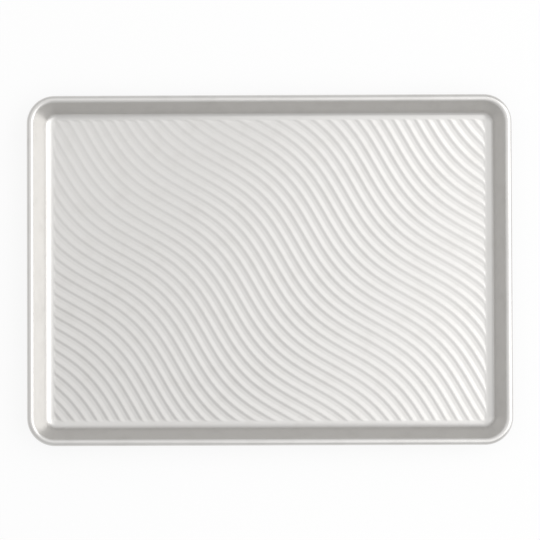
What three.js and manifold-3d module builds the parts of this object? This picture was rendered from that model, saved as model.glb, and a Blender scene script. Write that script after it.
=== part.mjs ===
// Half sheet pan: a shallow baking tray drawn from one aluminium sheet, with waves embossed in its floor
// and its edge rolled round a steel wire.
// Millimetres, +Z up, the long side along X. The origin is under the middle of the pan, on the surface that
// it rests on.
import * as THREE from "three";
import { mergeVertices } from "three/addons/utils/BufferGeometryUtils.js";
import Module from "manifold-3d";

// Outside of the pan, over the rolled rim.
const LENGTH = 457.2;
const WIDTH = 330.2;
const HEIGHT = 25.4;
const CORNER_RADIUS = 26.4;

// The sheet and its bends. The wall stands on a tight bend, and from there a wide toe, tilted at first, runs
// out to the floor.
const SHEET = 1;
const RIM_DIAMETER = 7.3;
const WALL_LEAN = 24.3;
const BEND_RADIUS = 6;
const TOE_RADIUS = 16;
const TOE_TILT = 22;

// The wire in the rim, and the gap where its ends meet.
const WIRE_DIAMETER = 4.8;
const WIRE_GAP = 1;

// The embossed waves: raised ribs that run across the pan at 45 degrees and sway from side to side. They end
// RIB_INSET inside the rim's outer edge, on the toe, and the floor between them is set down a little below
// it. A rib is steep on its left and gentle on its right, and its feet and crest are given as shares of the
// pitch.
const RIB_PITCH = 9.55;
const RIB_RISE = 0.4;
const LEFT_FOOT = -5 / 16;
const CREST = -1 / 16;
const RIGHT_FOOT = 6 / 16;
const SWAY = 9.55;
const SWAY_LENGTH = 217;
const RIB_INSET = 23;
const SET_DOWN = 0.18;

// How finely the round shapes are cut into flats. The roll's corners are at these angles round its centre,
// from just above the wall over the top to just below it.
const CORNER_FLATS = 8;
const RIM_FLAT_ANGLE = 30;
const ROLL_START = 135;
const ROLL_END = -135;
const BEND_FLATS = 4;
const TOE_FLATS = 2;
const WIRE_SIDES = 10;
const STEPS_PER_SWAY = 10;

const aluminium = new THREE.MeshStandardMaterial({ color: 0xd5d4d1, roughness: 0.48, metalness: 1 });
const steel = new THREE.MeshStandardMaterial({ color: 0xa6a8aa, roughness: 0.45, metalness: 1 });

const wasm = await Module();
wasm.setup();

// A closed geometry as a solid that can be joined and cut.
function solidFrom(geometry) {
  const bare = geometry.index ? geometry.toNonIndexed() : geometry.clone();
  bare.deleteAttribute("normal");
  bare.deleteAttribute("uv");
  const merged = mergeVertices(bare);
  return new wasm.Manifold(
    new wasm.Mesh({
      numProp: 3,
      vertProperties: merged.attributes.position.array,
      triVerts: new Uint32Array(merged.index.array),
    }),
  );
}

function geometryFrom(solid) {
  const { vertProperties, triVerts } = solid.getMesh();
  const geometry = new THREE.BufferGeometry();
  geometry.setAttribute("position", new THREE.BufferAttribute(vertProperties, 3));
  geometry.setIndex(new THREE.BufferAttribute(triVerts, 1));
  geometry.computeVertexNormals();
  return geometry;
}

// A shape turned round the Z axis is pulled apart, one quarter to each corner of the pan, so that its rings
// become rounded rectangles. Its points lie off the axes, and a point on the Z axis stays where it is.
function pullToCorners(geometry) {
  const position = geometry.attributes.position;
  for (let i = 0; i < position.count; i++) {
    const x = position.getX(i);
    const y = position.getY(i);
    position.setX(i, x + Math.sign(x) * (LENGTH / 2 - CORNER_RADIUS));
    position.setY(i, y + Math.sign(y) * (WIDTH / 2 - CORNER_RADIUS));
  }
  return geometry;
}

// The first flat of a corner is in line with the straight side, so a ring's points lie a little outside its
// radius.
const turnSegments = 4 * CORNER_FLATS;
const halfFlat = Math.PI / turnSegments;
const pointRadius = (radius) => radius / Math.cos(halfFlat);

// A ring with this section round the whole pan. In the section, x is the distance from a corner's own axis.
function ringAround(section) {
  const outline = section.map(({ x, y }) => new THREE.Vector2(pointRadius(x), y));
  const ring = new THREE.LatheGeometry([...outline, outline[0]], turnSegments, halfFlat);
  return pullToCorners(ring.rotateX(Math.PI / 2));
}

const onCircle = (center, radius, degrees) => {
  const angle = THREE.MathUtils.degToRad(degrees);
  return new THREE.Vector2(center.x + radius * Math.cos(angle), center.y + radius * Math.sin(angle));
};

// The sheet's path in section, from the toe to the end of the roll.
const lean = THREE.MathUtils.degToRad(WALL_LEAN);
const toeTop = SHEET + SET_DOWN;
const rimRadius = RIM_DIAMETER / 2;
const rimCenter = new THREE.Vector2(CORNER_RADIUS - rimRadius, HEIGHT - rimRadius);
const wallTop = onCircle(rimCenter, rimRadius, 180 - WALL_LEAN);
const toeToBend = onCircle(new THREE.Vector2(), TOE_RADIUS - BEND_RADIUS, TOE_TILT - 90);
const bendHeight = toeTop + TOE_RADIUS + toeToBend.y;
const wallHeight = wallTop.y - (bendHeight - BEND_RADIUS * Math.sin(lean));
const bendInset = wallHeight * Math.tan(lean) + BEND_RADIUS * Math.cos(lean);
const bendCenter = new THREE.Vector2(wallTop.x - bendInset, bendHeight);
const toeCenter = bendCenter.clone().sub(toeToBend);

// Points on a circle from one angle to another, both included.
function arc(center, radius, from, to, flats) {
  const points = [];
  for (let i = 0; i <= flats; i++) {
    points.push(onCircle(center, radius, from + (i / flats) * (to - from)));
  }
  return points;
}

// One side of the sheet, this far below its upper face. The rim's flats touch its circle, and one flat is on
// top and one underneath.
function sheetLine(depth) {
  const rollFlats = (ROLL_START - ROLL_END) / RIM_FLAT_ANGLE;
  const rollRadius = (rimRadius - depth) / Math.cos(THREE.MathUtils.degToRad(RIM_FLAT_ANGLE / 2));
  return [
    ...arc(toeCenter, TOE_RADIUS + depth, -90, TOE_TILT - 90, TOE_FLATS),
    ...arc(bendCenter, BEND_RADIUS + depth, TOE_TILT - 90, -WALL_LEAN, BEND_FLATS).slice(1),
    onCircle(rimCenter, rimRadius - depth, 180 - WALL_LEAN),
    ...arc(rimCenter, rollRadius, ROLL_START, ROLL_END, rollFlats),
  ];
}

// Toe, bend, walls and rolled rim.
function wallsAndRim() {
  return solidFrom(ringAround([...sheetLine(SHEET), ...sheetLine(0).reverse()]));
}

// The embossed floor: a corrugated sheet is extruded straight, swayed, turned to 45 degrees and trimmed.
function embossedFloor() {
  const reach = (LENGTH + WIDTH) / Math.SQRT2 / 2;
  const ribs = Math.ceil(reach / RIB_PITCH);
  const top = [];
  for (let rib = -ribs; rib <= ribs; rib++) {
    top.push(new THREE.Vector2((rib + LEFT_FOOT) * RIB_PITCH, SHEET));
    top.push(new THREE.Vector2((rib + CREST) * RIB_PITCH, SHEET + RIB_RISE));
    top.push(new THREE.Vector2((rib + RIGHT_FOOT) * RIB_PITCH, SHEET));
  }
  const underside = top.map(({ x, y }) => new THREE.Vector2(x, y - SHEET)).reverse();
  const steps = 2 * Math.ceil((reach / SWAY_LENGTH) * STEPS_PER_SWAY);
  const run = (steps / STEPS_PER_SWAY) * SWAY_LENGTH;
  const sheet = new THREE.ExtrudeGeometry(new THREE.Shape([...top, ...underside]), {
    depth: run,
    steps,
    bevelEnabled: false,
  });
  sheet.translate(0, 0, -run / 2);
  const position = sheet.attributes.position;
  for (let i = 0; i < position.count; i++) {
    const turn = (2 * Math.PI * position.getZ(i)) / SWAY_LENGTH;
    position.setX(i, position.getX(i) - SWAY * Math.sin(turn));
  }
  const across = new THREE.Vector3(1, 1, 0).normalize();
  const up = new THREE.Vector3(0, 0, 1);
  const along = new THREE.Vector3(1, -1, 0).normalize();
  sheet.applyMatrix4(new THREE.Matrix4().makeBasis(across, up, along));

  const radius = pointRadius(CORNER_RADIUS - RIB_INSET);
  const field = new THREE.CylinderGeometry(radius, radius, HEIGHT, turnSegments, 1, false, halfFlat);
  return solidFrom(sheet).intersect(solidFrom(pullToCorners(field.rotateX(Math.PI / 2))));
}

function panBody() {
  return new THREE.Mesh(geometryFrom(wallsAndRim().add(embossedFloor())), aluminium);
}

// The wire follows the middle of the roll all the way round, and its ends meet behind the pan.
function rimWire() {
  const section = [];
  for (let side = 0; side < WIRE_SIDES; side++) {
    section.push(onCircle(rimCenter, WIRE_DIAMETER / 2, (360 * side) / WIRE_SIDES));
  }
  const gap = new THREE.BoxGeometry(WIRE_GAP, RIM_DIAMETER, RIM_DIAMETER);
  gap.translate(0, WIDTH / 2 - rimRadius, rimCenter.y);
  return new THREE.Mesh(geometryFrom(solidFrom(ringAround(section)).subtract(solidFrom(gap))), steel);
}

const pan = new THREE.Group();
const pieces = { pan_body: panBody(), rim_wire: rimWire() };
for (const [name, mesh] of Object.entries(pieces)) {
  mesh.name = name;
  pan.add(mesh);
}

export default pan;
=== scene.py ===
# %% [markdown]
# # A half sheet pan
# This baking tray is drawn from one sheet of aluminium. Its edge is rolled round a steel wire, and long
# waves are embossed across its floor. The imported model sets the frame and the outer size, in metres, with
# the origin under the pan's middle. Here the same two pieces are made again as fine meshes, get their
# finishes and are set in a plain studio, seen from nearly straight above.

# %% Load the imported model
import math

import bmesh
import bpy
from mathutils import Matrix, Vector


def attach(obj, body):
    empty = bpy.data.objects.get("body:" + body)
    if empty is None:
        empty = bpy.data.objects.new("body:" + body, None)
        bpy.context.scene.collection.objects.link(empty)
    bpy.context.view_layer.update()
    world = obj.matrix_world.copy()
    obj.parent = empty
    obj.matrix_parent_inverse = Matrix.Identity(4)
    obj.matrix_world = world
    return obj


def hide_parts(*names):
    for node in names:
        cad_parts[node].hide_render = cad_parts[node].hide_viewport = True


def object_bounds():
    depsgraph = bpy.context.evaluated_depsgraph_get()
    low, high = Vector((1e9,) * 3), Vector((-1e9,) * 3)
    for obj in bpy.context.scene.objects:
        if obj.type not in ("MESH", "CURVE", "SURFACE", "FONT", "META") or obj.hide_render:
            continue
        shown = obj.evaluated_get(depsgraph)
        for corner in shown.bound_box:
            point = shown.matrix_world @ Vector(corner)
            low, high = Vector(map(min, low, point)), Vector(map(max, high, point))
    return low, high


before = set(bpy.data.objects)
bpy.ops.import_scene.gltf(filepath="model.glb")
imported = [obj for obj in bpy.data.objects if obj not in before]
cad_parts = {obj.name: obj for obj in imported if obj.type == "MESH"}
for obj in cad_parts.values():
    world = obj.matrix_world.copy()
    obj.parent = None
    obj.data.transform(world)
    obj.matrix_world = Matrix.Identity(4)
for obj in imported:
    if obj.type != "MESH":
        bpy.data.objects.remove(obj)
cad_low, cad_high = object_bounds()
MM = 0.001
print("packed nodes:", sorted(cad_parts))
print("packed box in mm:", [round(side / MM, 1) for side in cad_high - cad_low])

# %% [markdown]
# ## The section
# Cut across one side, the sheet is a bent strip: a wide toe that lifts off the floor, a tight bend, a
# straight leaning wall, and a roll that goes nearly all the way round. Bevelling a box could round its
# edges, but not with two radii in one foot, so the section is worked out first. No part of it meets the next
# with a kink, and so the centres of the bend and the toe follow from the rim, the lean and the radii. All
# this is done behind the pan, where outward is +Y.

# %% Work out the section
SHEET = 1.0 * MM
SET_DOWN = 0.18 * MM
CORNER_RADIUS = 26.4 * MM
RIM_RADIUS = 7.3 * MM / 2
WALL_LEAN = math.radians(24.3)
BEND_RADIUS = 6 * MM
TOE_RADIUS = 16 * MM
TOE_TILT = math.radians(22)

HALF_LENGTH = cad_high.x
HALF_WIDTH = cad_high.y
CORNER_X = HALF_LENGTH - CORNER_RADIUS
CORNER_Y = HALF_WIDTH - CORNER_RADIUS
TOE_TOP = SHEET + SET_DOWN

rim_center = Vector((0, HALF_WIDTH - RIM_RADIUS, cad_high.z - RIM_RADIUS))
wall_outward = Vector((0, math.cos(WALL_LEAN), -math.sin(WALL_LEAN)))
wall_top = rim_center - RIM_RADIUS * wall_outward
toe_outward = Vector((0, math.sin(TOE_TILT), -math.cos(TOE_TILT)))
bend_height = TOE_TOP + TOE_RADIUS + (TOE_RADIUS - BEND_RADIUS) * toe_outward.z
wall_foot_height = bend_height + BEND_RADIUS * wall_outward.z
wall_foot = wall_top - (wall_top.z - wall_foot_height) * Vector((0, math.tan(WALL_LEAN), 1))
bend_center = wall_foot - BEND_RADIUS * wall_outward
toe_center = bend_center - (TOE_RADIUS - BEND_RADIUS) * toe_outward
toe_inset = HALF_WIDTH - toe_center.y


def toe_rise(inset):
    """How far the toe has risen, this far inside the rim's outer edge."""
    up_the_toe = max(toe_inset - inset, 0)
    return TOE_RADIUS - math.sqrt(TOE_RADIUS**2 - up_the_toe**2)


print("wall length in mm:", round((wall_top - wall_foot).length / MM, 2))
print("the floor is flat from this far inside, in mm:", round(toe_inset / MM, 2))

# %% [markdown]
# ## The waves
# The floor's waves are raised ribs, side by side at 45 degrees to the pan, that all sway in the same long
# curve. A plain sine does it: straight ahead the rib follows its run, and to the side it swings by the sine
# of how far it has come. In section a rib is steep on its left and gentle on its right, with a narrow flat
# crest and a wider flat trough. Its feet and the end of its crest are given as shares of the pitch, counted
# from where the crest begins, and a small offset moves all the ribs to where the photograph has them. At the
# pan's sides the ribs die away on the toe, a little sooner at the short sides than at the long ones. A
# displacement map could draw this, but a mesh whose rows follow the ribs needs far fewer faces, and then the
# light shows clean, unbroken lines.

# %% How high the floor is at a place
RIB_PITCH = 9.55 * MM
RIB_RISE = 0.4 * MM
RIB_OFFSET = 0.75 * MM
LEFT_FOOT = -4 / 16
CREST_END = 1 / 16
RIGHT_FOOT = 7 / 16
SWAY = 9.55 * MM
SWAY_LENGTH = 217 * MM
RIB_INSET_X = 22.9 * MM
RIB_INSET_Y = 20.9 * MM
RIB_FADE = 2 * MM
RIB_CORNER = 4 * MM


def sway_at(along):
    """How far the ribs have swung to the side, this far along their run."""
    return SWAY * math.sin(2 * math.pi * along / SWAY_LENGTH)


def rib_share(place):
    """1 on a rib's crest, 0 at the bottom of the trough beside it."""
    along = (place.x - place.y) / math.sqrt(2)
    across = (place.x + place.y) / math.sqrt(2)
    ribs = (across + sway_at(along) + RIB_OFFSET) / RIB_PITCH
    across_rib = ribs - round(ribs)
    up_left = 1 - across_rib / LEFT_FOOT
    up_right = (RIGHT_FOOT - across_rib) / (RIGHT_FOOT - CREST_END)
    return max(min(up_left, up_right, 1), 0)


def inset_in(place, half_length, half_width, radius):
    """How far inside a rounded rectangle a place is, seen from above."""
    past_x = abs(place.x) - half_length + radius
    past_y = abs(place.y) - half_width + radius
    past = math.hypot(max(past_x, 0), max(past_y, 0)) + min(max(past_x, past_y), 0)
    return radius - past


def floor_height(place):
    """How high the sheet's upper face is at a place, with the ribs faded out towards their ends."""
    inset = inset_in(place, HALF_LENGTH, HALF_WIDTH, CORNER_RADIUS)
    inside_ends = inset_in(place, HALF_LENGTH - RIB_INSET_X, HALF_WIDTH - RIB_INSET_Y, RIB_CORNER)
    grown = min(max(inside_ends / RIB_FADE, 0), 1)
    eased = grown * grown * (3 - 2 * grown)
    return TOE_TOP + toe_rise(inset) + eased * (RIB_RISE * rib_share(place) - SET_DOWN)


print("floor in the middle of the pan, in mm:", round(floor_height(Vector((0, 0, 0))) / MM, 2))

# %% [markdown]
# ## The embossed floor
# The floor starts as a flat grid. A grid laid along the pan's sides would break every crest into steps, so
# one way of this one is the ribs' run. The other way has sixteen strips to a rib, so that rows lie along
# every foot and both edges of every crest. The rows are swayed, the grid is turned to 45 degrees, and cuts
# trim it to the field, straight along the sides and in short flats round the corners. More cuts give the
# ends of the ribs their own rows. Only then does each vertex rise to its height.

# %% Lay the grid along the ribs
RIB_ANGLE = math.radians(-45)
STRIPS_PER_RIB = 16
STEP_ALONG = 8 * MM
FIELD_INSET = 20.5 * MM

pan = bmesh.new()
field_corner = CORNER_RADIUS - FIELD_INSET
field_reach = (CORNER_X + CORNER_Y + 2 * field_corner) / math.sqrt(2)
ribs_each_way = math.ceil((field_reach + SWAY) / RIB_PITCH)
grid_half = ribs_each_way * RIB_PITCH
bmesh.ops.create_grid(
    pan,
    x_segments=round(2 * grid_half / STEP_ALONG),
    y_segments=2 * ribs_each_way * STRIPS_PER_RIB,
    size=grid_half,
)
for vert in pan.verts:
    vert.co.y -= sway_at(vert.co.x) + RIB_OFFSET
bmesh.ops.rotate(pan, verts=pan.verts, matrix=Matrix.Rotation(RIB_ANGLE, 3, "Z"))
print("ribs each way:", ribs_each_way, "faces in the grid:", len(pan.faces))

# %% Trim it to the field
CORNER_CUTS = 6
TOE_ROWS = 8


def cut(bm, place, outward, trim):
    """Cuts the mesh along a plane, and with trim takes away what lies outside it."""
    parts = bm.verts[:] + bm.edges[:] + bm.faces[:]
    bmesh.ops.bisect_plane(bm, geom=parts, plane_co=place, plane_no=outward, clear_outer=trim)


def cut_sides(bm, inset, trim):
    """Cuts along all four sides, this far inside the rim's outer edge."""
    for side in (-1, 1):
        cut(bm, (side * (HALF_LENGTH - inset), 0, 0), (side, 0, 0), trim)
        cut(bm, (0, side * (HALF_WIDTH - inset), 0), (0, side, 0), trim)


cut_sides(pan, FIELD_INSET, trim=True)
for side_x in (-1, 1):
    for side_y in (-1, 1):
        for i in range(1, CORNER_CUTS):
            angle = math.pi / 2 * i / CORNER_CUTS
            outward = Vector((side_x * math.cos(angle), side_y * math.sin(angle), 0))
            corner = Vector((side_x * CORNER_X, side_y * CORNER_Y, 0))
            cut(pan, corner + field_corner * outward, outward, trim=True)
last_row = RIB_INSET_X + RIB_FADE
for row in range(1, TOE_ROWS + 1):
    cut_sides(pan, FIELD_INSET + (last_row - FIELD_INSET) * row / TOE_ROWS, trim=False)
for vert in pan.verts:
    vert.co.z = floor_height(vert.co)
print("faces in the floor:", len(pan.faces))

# %% [markdown]
# ## The bent strip
# Round the floor stands the rest of the sheet, the same strip all the way. Its points could be worked out
# one by one, but it can also be drawn the way it is bent, and then each bend is one line of code. One vertex
# starts at the edge of the field, a little way up the toe. Spinning it about the centre of a bend leaves an
# arc of edges behind it, and extruding it leaves the straight wall.

# %% Draw the strip behind the pan
STRIP_CLEARANCE = 0.1 * MM
ROLL_TURN = math.radians(290)
TOE_STEPS = 4
BEND_STEPS = 10
ROLL_STEPS = 36


def bend(bm, vert, center, angle, steps):
    """Draws an arc on from a vertex, about a line along X, and gives its last vertex."""
    made = bmesh.ops.spin(bm, geom=[vert], cent=center, axis=(1, 0, 0), angle=angle, steps=steps)
    return next(part for part in made["geom_last"] if isinstance(part, bmesh.types.BMVert))


floor_edges = set(pan.edges)
strip_inset = FIELD_INSET - STRIP_CLEARANCE
strip_place = Vector((0, HALF_WIDTH - strip_inset, TOE_TOP + toe_rise(strip_inset)))
strip_tilt = math.asin((toe_inset - strip_inset) / TOE_RADIUS)
strip_start = bmesh.ops.create_vert(pan, co=strip_place)["vert"][0]
toe_end = bend(pan, strip_start, toe_center, TOE_TILT - strip_tilt, TOE_STEPS)
bend_end = bend(pan, toe_end, bend_center, math.pi / 2 - WALL_LEAN - TOE_TILT, BEND_STEPS)
wall_end = bmesh.ops.extrude_vert_indiv(pan, verts=[bend_end])["verts"][0]
wall_end.co = wall_top
bend(pan, wall_end, rim_center, -ROLL_TURN, ROLL_STEPS)
strip = [edge for edge in pan.edges if edge not in floor_edges]
print("edges in the strip:", len(strip))

# %% [markdown]
# ## Walls and rim
# The strip now walks round the pan and leaves the sheet behind it. Along a side it is extruded, and at a
# corner it is spun a quarter turn about the corner's own axis. A curve with the strip as its bevel could make
# the same round, but a spin keeps the radius of every bend exact. The round ends where it began, and the
# doubles there are merged. The wire makes the same round later, so the walk is a function.

# %% Tools for the walk
CORNER_STEPS = 18


def carry_along(bm, edges, run):
    """Extrudes edges along a straight run, and gives the edges at its end."""
    made = bmesh.ops.extrude_edge_only(bm, edges=edges)["geom"]
    moved = [part for part in made if isinstance(part, bmesh.types.BMVert)]
    bmesh.ops.translate(bm, verts=moved, vec=run)
    ends = set(moved)
    return [part for part in made if isinstance(part, bmesh.types.BMEdge) and ends.issuperset(part.verts)]


def carry_round_corner(bm, edges, corner):
    """Spins edges a quarter turn clockwise about an upright line, and gives the edges at its end."""
    verts = {vert for edge in edges for vert in edge.verts}
    made = bmesh.ops.spin(
        bm, geom=edges + list(verts), cent=corner, axis=(0, 0, 1), angle=-math.pi / 2, steps=CORNER_STEPS
    )
    return [part for part in made["geom_last"] if isinstance(part, bmesh.types.BMEdge)]


def walk_round(bm, edges, gap):
    """Carries a section from behind the pan round its four sides, to this far from where it began."""
    half_back = Vector((CORNER_X - gap / 2, 0, 0))
    short_side = Vector((0, 2 * CORNER_Y, 0))
    long_side = Vector((2 * CORNER_X, 0, 0))
    sides = [
        (half_back, (CORNER_X, CORNER_Y, 0)),
        (-short_side, (CORNER_X, -CORNER_Y, 0)),
        (-long_side, (-CORNER_X, -CORNER_Y, 0)),
        (short_side, (-CORNER_X, CORNER_Y, 0)),
    ]
    for run, corner in sides:
        edges = carry_along(bm, edges, run)
        edges = carry_round_corner(bm, edges, corner)
    return carry_along(bm, edges, half_back)


# %% Walk the strip round the pan
MERGE_DISTANCE = 0.001 * MM

walk_round(pan, strip, gap=0)
bmesh.ops.remove_doubles(pan, verts=pan.verts, dist=MERGE_DISTANCE)
print("faces with walls and rim:", len(pan.faces))

# %% [markdown]
# ## One closed sheet
# Between the field and the strip a hair's breadth is open. Bridging suits two loops with like counts of
# vertices, and here the counts are far apart, so a triangle fill joins them. Then the normals are made to
# agree, and the sheet gets its thickness downwards. The cut edge at the end of the roll is marked sharp.

# %% Close the gap and thicken the sheet
SHARP_ANGLE = math.radians(40)


def beside_gap(edge):
    """Tells the open edges beside the gap from those at the end of the roll, which are higher."""
    return edge.is_boundary and edge.verts[0].co.z < wall_foot.z


bmesh.ops.triangle_fill(
    pan, use_beauty=True, normal=(0, 0, 1), edges=[edge for edge in pan.edges if beside_gap(edge)]
)
bmesh.ops.recalc_face_normals(pan, faces=pan.faces)
print("open edges, all at the end of the roll:", sum(edge.is_boundary for edge in pan.edges))

bmesh.ops.solidify(pan, geom=pan.faces[:], thickness=SHEET)
for face in pan.faces:
    face.smooth = True
for edge in pan.edges:
    edge.smooth = edge.calc_face_angle(0) < SHARP_ANGLE


# %% Put the sheet in an object
def finish_piece(bm, name):
    """Puts a finished bmesh in an object at the origin."""
    mesh = bpy.data.meshes.new(name)
    bm.to_mesh(mesh)
    bm.free()
    piece = bpy.data.objects.new(name, mesh)
    bpy.context.collection.objects.link(piece)
    print(name, "has", sum(len(face.vertices) - 2 for face in mesh.polygons), "triangles")
    return piece


pan_sheet = finish_piece(pan, "pan_sheet")

# %% [markdown]
# ## The wire in the rim
# Inside the roll lies a plain steel wire that keeps the rim stiff. Its ends only butt together, so a small
# gap stays where they meet. A curve with a round bevel would do for it too, but then its corners would be
# drawn anew. So it is a circle that walks round the pan as the strip did, starting and ending beside that
# gap. Its sides are shaded smooth, and its two flat ends aren't.

# %% Walk the wire round the pan
WIRE_RADIUS = 2.4 * MM
WIRE_GAP = 1 * MM
WIRE_SIDES = 20

wire = bmesh.new()
wire_start = Matrix.Translation(rim_center + Vector((WIRE_GAP / 2, 0, 0)))
facing_along = Matrix.Rotation(math.pi / 2, 4, "Y")
bmesh.ops.create_circle(
    wire, cap_ends=True, radius=WIRE_RADIUS, segments=WIRE_SIDES, matrix=wire_start @ facing_along
)
wire_end = walk_round(wire, wire.edges[:], WIRE_GAP)
bmesh.ops.holes_fill(wire, edges=wire_end, sides=WIRE_SIDES)
bmesh.ops.recalc_face_normals(wire, faces=wire.faces)
for face in wire.faces:
    face.smooth = len(face.verts) < WIRE_SIDES
round_wire = finish_piece(wire, "round_wire")

# %% [markdown]
# ## Satin aluminium
# Rolled sheet that has been pressed and washed is neither mirror nor matt: it spreads the light in a soft
# sheen. A picture of scratches could be laid over it, but noise on the pan's own coordinates has no seams.
# Four noises make the sheet uneven. A broad one dulls and clears the sheen in patches, and one of finer
# spots stains the colour a little. A third is stretched along the pan into the streaks that the rolls left,
# and a fourth is the grain. These last two stand up as a slight bump. The walls carry painted light: their
# colour is a touch brighter and warmer than the floor's, for the warm light they reflect, and the height
# above the floor tells the two apart.

# %% Tools for the finishes
def new_finish(name):
    """A bare metal, with its node tree and its shader for more."""
    finish = bpy.data.materials.new(name)
    finish.use_nodes = True
    shader = finish.node_tree.nodes["Principled BSDF"]
    shader.inputs["Metallic"].default_value = 1
    return finish, finish.node_tree, shader


def object_place(tree):
    """The place on the piece, in its own coordinates."""
    return tree.nodes.new("ShaderNodeTexCoord").outputs["Object"]


def noise_on(tree, grains, detail):
    """Noise on the object's own coordinates, with this many grains to a metre along each axis."""
    mapping = tree.nodes.new("ShaderNodeMapping")
    noise = tree.nodes.new("ShaderNodeTexNoise")
    mapping.inputs["Scale"].default_value = grains
    noise.inputs["Scale"].default_value = 1
    noise.inputs["Detail"].default_value = detail
    tree.links.new(object_place(tree), mapping.inputs["Vector"])
    tree.links.new(mapping.outputs["Vector"], noise.inputs["Vector"])
    return noise.outputs["Fac"]


def spread(tree, value, from_range, to_range):
    """Stretches one range of values over another, and holds what lies beyond at its ends."""
    node = tree.nodes.new("ShaderNodeMapRange")
    node.inputs["From Min"].default_value, node.inputs["From Max"].default_value = from_range
    node.inputs["To Min"].default_value, node.inputs["To Max"].default_value = to_range
    tree.links.new(value, node.inputs["Value"])
    return node.outputs["Result"]


def mix_in(tree, share, color):
    """A node that mixes this share of a colour into its first colour."""
    node = tree.nodes.new("ShaderNodeMixRGB")
    node.inputs["Color2"].default_value = (*color, 1)
    tree.links.new(share, node.inputs["Fac"])
    return node


# %% Colour the sheet
CLEAN_METAL = (0.67, 0.66, 0.645)
# Painted light: the walls' colour is a touch brighter and warmer than the floor's, for the light they reflect.
WALL_METAL_WITH_PAINTED_LIGHT = (0.689, 0.678, 0.662)
WALL_HEIGHTS = (3 * MM, 9 * MM)
STAINED_METAL = (0.645, 0.634, 0.617)
STAIN_GRAINS = (60, 60, 60)
STAIN_DETAIL = 6
STAIN_RANGE = (0.5, 0.75)

satin, satin_tree, satin_shader = new_finish("satin_aluminium")
split = satin_tree.nodes.new("ShaderNodeSeparateXYZ")
satin_tree.links.new(object_place(satin_tree), split.inputs["Vector"])
# Painted light: above these heights the wall colour, with its painted reflection, takes over from the floor's.
painted_wall_light_share = spread(satin_tree, split.outputs["Z"], WALL_HEIGHTS, (0, 1))
sheet_color = mix_in(satin_tree, painted_wall_light_share, WALL_METAL_WITH_PAINTED_LIGHT)
sheet_color.inputs["Color1"].default_value = (*CLEAN_METAL, 1)
stain_noise = noise_on(satin_tree, STAIN_GRAINS, STAIN_DETAIL)
stained_color = mix_in(satin_tree, spread(satin_tree, stain_noise, STAIN_RANGE, (0, 1)), STAINED_METAL)
satin_tree.links.new(sheet_color.outputs["Color"], stained_color.inputs["Color1"])
satin_tree.links.new(stained_color.outputs["Color"], satin_shader.inputs["Base Color"])
pan_sheet.data.materials.append(satin)
print("nodes so far in the satin finish:", len(satin_tree.nodes))

# %% Give the sheet its sheen and grain
NOISE_MIDDLE = (0.3, 0.7)
SHEEN_GRAINS = (40, 40, 40)
SHEEN_DETAIL = 4
SHEEN_ROUGHNESS = (0.295, 0.345)
STREAK_GRAINS = (30, 1500, 1500)
STREAK_DETAIL = 2
STREAK_HEIGHT = 0.004 * MM
FINE_GRAINS = (900, 900, 900)
FINE_DETAIL = 3
FINE_HEIGHT = 0.006 * MM


def bump(tree, height, distance, below=None):
    """Lets a noise stand up by a distance, on top of another bump if there is one."""
    node = tree.nodes.new("ShaderNodeBump")
    node.inputs["Distance"].default_value = distance
    tree.links.new(height, node.inputs["Height"])
    if below:
        tree.links.new(below, node.inputs["Normal"])
    return node.outputs["Normal"]


sheen_noise = noise_on(satin_tree, SHEEN_GRAINS, SHEEN_DETAIL)
sheen = spread(satin_tree, sheen_noise, NOISE_MIDDLE, SHEEN_ROUGHNESS)
satin_tree.links.new(sheen, satin_shader.inputs["Roughness"])
streaks = bump(satin_tree, noise_on(satin_tree, STREAK_GRAINS, STREAK_DETAIL), STREAK_HEIGHT)
grain = bump(satin_tree, noise_on(satin_tree, FINE_GRAINS, FINE_DETAIL), FINE_HEIGHT, streaks)
satin_tree.links.new(grain, satin_shader.inputs["Normal"])
print("nodes in the satin finish:", len(satin_tree.nodes))

# %% [markdown]
# ## Drawn steel
# The wire was pulled through a die, which leaves a plain grey metal with faint marks. It hardly shows, so a
# flat grey might do, but in the gap of the roll a little unevenness makes it look like steel. One noise in
# the roughness is enough for that.

# %% Make the wire's finish
WIRE_METAL = (0.42, 0.42, 0.43)
MARK_GRAINS = (300, 300, 300)
MARK_DETAIL = 4
MARK_ROUGHNESS = (0.35, 0.6)

drawn, drawn_tree, drawn_shader = new_finish("drawn_steel")
drawn_shader.inputs["Base Color"].default_value = (*WIRE_METAL, 1)
mark_noise = noise_on(drawn_tree, MARK_GRAINS, MARK_DETAIL)
marks = spread(drawn_tree, mark_noise, NOISE_MIDDLE, MARK_ROUGHNESS)
drawn_tree.links.new(marks, drawn_shader.inputs["Roughness"])
round_wire.data.materials.append(drawn)
print("nodes in the wire's finish:", len(drawn_tree.nodes))

# %% [markdown]
# ## The pieces and the imported model
# The two fine meshes stand for the two imported nodes, which stay in the model and are hidden here. Both could
# be shown, but then two surfaces would lie almost in one place. The pan has no joint, so both pieces ride on
# its only body.

# %% Attach the pieces and hide the imported nodes
for piece, node, slot in (
    (pan_sheet, "pan_body", "satin_aluminium"),
    (round_wire, "rim_wire", "wire_steel"),
):
    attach(piece, "root")
    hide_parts(node)
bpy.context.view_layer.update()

# %% [markdown]
# ## Floor, light and surroundings
# The pan lies on a white floor in a white room, which a satin metal shows as an even pale grey. More light
# could make the floor white, but the pan would then be too bright. So the floor glows, only where the camera
# or a reflection sees it, and the pan's shadow still falls on it. It lies a hair below the pan, because two
# faces in one place would flicker. Four soft panels give the shapes. A large one on the right makes the left
# wall bright, because that wall leans towards it. The one overhead and the one to its left are smaller and
# nearer, so the ribs show their edges as clean lines. A faint one behind the pan lifts the wall in front.

# %% Lay the floor
FLOOR_SIZE = 12
FLOOR_CLEARANCE = 0.05 * MM

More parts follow.
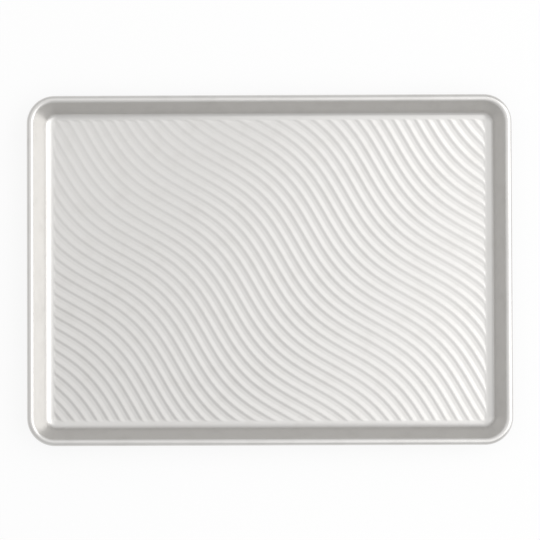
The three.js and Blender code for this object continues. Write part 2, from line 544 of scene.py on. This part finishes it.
floor_mesh = bmesh.new()
floor_place = Matrix.Translation((0, 0, -FLOOR_CLEARANCE))
bmesh.ops.create_grid(floor_mesh, x_segments=1, y_segments=1, size=FLOOR_SIZE / 2, matrix=floor_place)
studio_floor = finish_piece(floor_mesh, "studio_floor")

# %% Make the floor white
FLOOR_PAINT = (0.85, 0.85, 0.85)
FLOOR_ROUGHNESS = 0.9
FLOOR_GLOW = 0.85


def either(tree, first, second):
    """1 where one of two yes-or-no values is 1."""
    node = tree.nodes.new("ShaderNodeMath")
    node.operation = "MAXIMUM"
    tree.links.new(first, node.inputs[0])
    tree.links.new(second, node.inputs[1])
    return node.outputs["Value"]


floor_finish = bpy.data.materials.new("white_floor")
floor_finish.use_nodes = True
floor_tree = floor_finish.node_tree
floor_shader = floor_tree.nodes["Principled BSDF"]
floor_shader.inputs["Base Color"].default_value = (*FLOOR_PAINT, 1)
floor_shader.inputs["Roughness"].default_value = FLOOR_ROUGHNESS
floor_shader.inputs["Specular IOR Level"].default_value = 0
ray = floor_tree.nodes.new("ShaderNodeLightPath")
in_metal_or_glass = either(floor_tree, ray.outputs["Is Glossy Ray"], ray.outputs["Is Transmission Ray"])
seen = either(floor_tree, ray.outputs["Is Camera Ray"], in_metal_or_glass)
glow_share = spread(floor_tree, seen, (0, 1), (0, FLOOR_GLOW))
floor_glow = floor_tree.nodes.new("ShaderNodeEmission")
glowing = floor_tree.nodes.new("ShaderNodeMixShader")
floor_tree.links.new(glow_share, glowing.inputs["Fac"])
floor_tree.links.new(floor_shader.outputs["BSDF"], glowing.inputs[1])
floor_tree.links.new(floor_glow.outputs["Emission"], glowing.inputs[2])
floor_tree.links.new(glowing.outputs["Shader"], floor_tree.nodes["Material Output"].inputs["Surface"])
studio_floor.data.materials.append(floor_finish)
print("nodes in the floor's finish:", len(floor_tree.nodes))

# %% Light the room
ROOM_LIGHT = 0.714

room = bpy.data.worlds.new("white_room")
room.use_nodes = True
room.node_tree.nodes["Background"].inputs["Color"].default_value = (1, 1, 1, 1)
room.node_tree.nodes["Background"].inputs["Strength"].default_value = ROOM_LIGHT
bpy.context.scene.world = room


def soft_light(name, place, width, depth, brightness):
    """A soft panel that faces the pan, as bright as a white surface times this number."""
    panel = bpy.data.lights.new(name, "AREA")
    panel.shape = "RECTANGLE"
    panel.size = width
    panel.size_y = depth
    panel.energy = brightness * math.pi * width * depth
    light = bpy.data.objects.new(name, panel)
    light.location = place
    light.rotation_euler = place.to_track_quat("Z", "Y").to_euler()
    bpy.context.collection.objects.link(light)
    print(name, "gives", round(panel.energy, 1), "W")


soft_light("ceiling_light", Vector((0.36, -0.09, 1.08)), width=1.73, depth=0.75, brightness=0.52)
soft_light("right_light", Vector((1.74, 0.15, 1.34)), width=2.6, depth=2.44, brightness=1.23)
soft_light("left_light", Vector((-0.4, 0.23, 0.9)), width=0.92, depth=0.96, brightness=0.3)
soft_light("back_light", Vector((0.35, 1.1, 1.0)), width=1.6, depth=0.8, brightness=0.14)

# %% [markdown]
# ## The camera
# The photograph was taken from about two metres, a touch off the vertical and with the pan turned by a fifth
# of a degree. Aiming a camera straight down leaves its roll undefined, so its three axes are built here from
# the line of sight and the pan's own Y axis.

# %% Set the camera
AIM = Vector((0.513, -0.04, 22.2)) * MM
CAMERA_DISTANCE = 2000 * MM
OFF_VERTICAL_X = math.radians(0.355)
OFF_VERTICAL_Y = math.radians(-1.154)
ROLL = math.radians(-0.206)
PIXELS_PER_MM = 1.06186
IMAGE_PIXELS = 540
SENSOR_WIDTH = 36

toward_camera = Vector((math.tan(OFF_VERTICAL_X), math.tan(OFF_VERTICAL_Y), 1)).normalized()
image_right = Vector((0, 1, 0)).cross(toward_camera).normalized()
image_up = toward_camera.cross(image_right)
axes = Matrix((image_right, image_up, toward_camera)).transposed()
lens = bpy.data.cameras.new("camera")
lens.sensor_width = SENSOR_WIDTH
lens.lens = SENSOR_WIDTH * PIXELS_PER_MM * CAMERA_DISTANCE / MM / IMAGE_PIXELS
camera = bpy.data.objects.new("camera", lens)
camera.matrix_world = Matrix.Translation(AIM + CAMERA_DISTANCE * toward_camera) @ (
    axes @ Matrix.Rotation(ROLL, 3, "Z")
).to_4x4()
bpy.context.collection.objects.link(camera)
bpy.context.scene.camera = camera
bpy.context.scene.view_settings.view_transform = "Standard"
print("lens in mm:", round(lens.lens, 1))
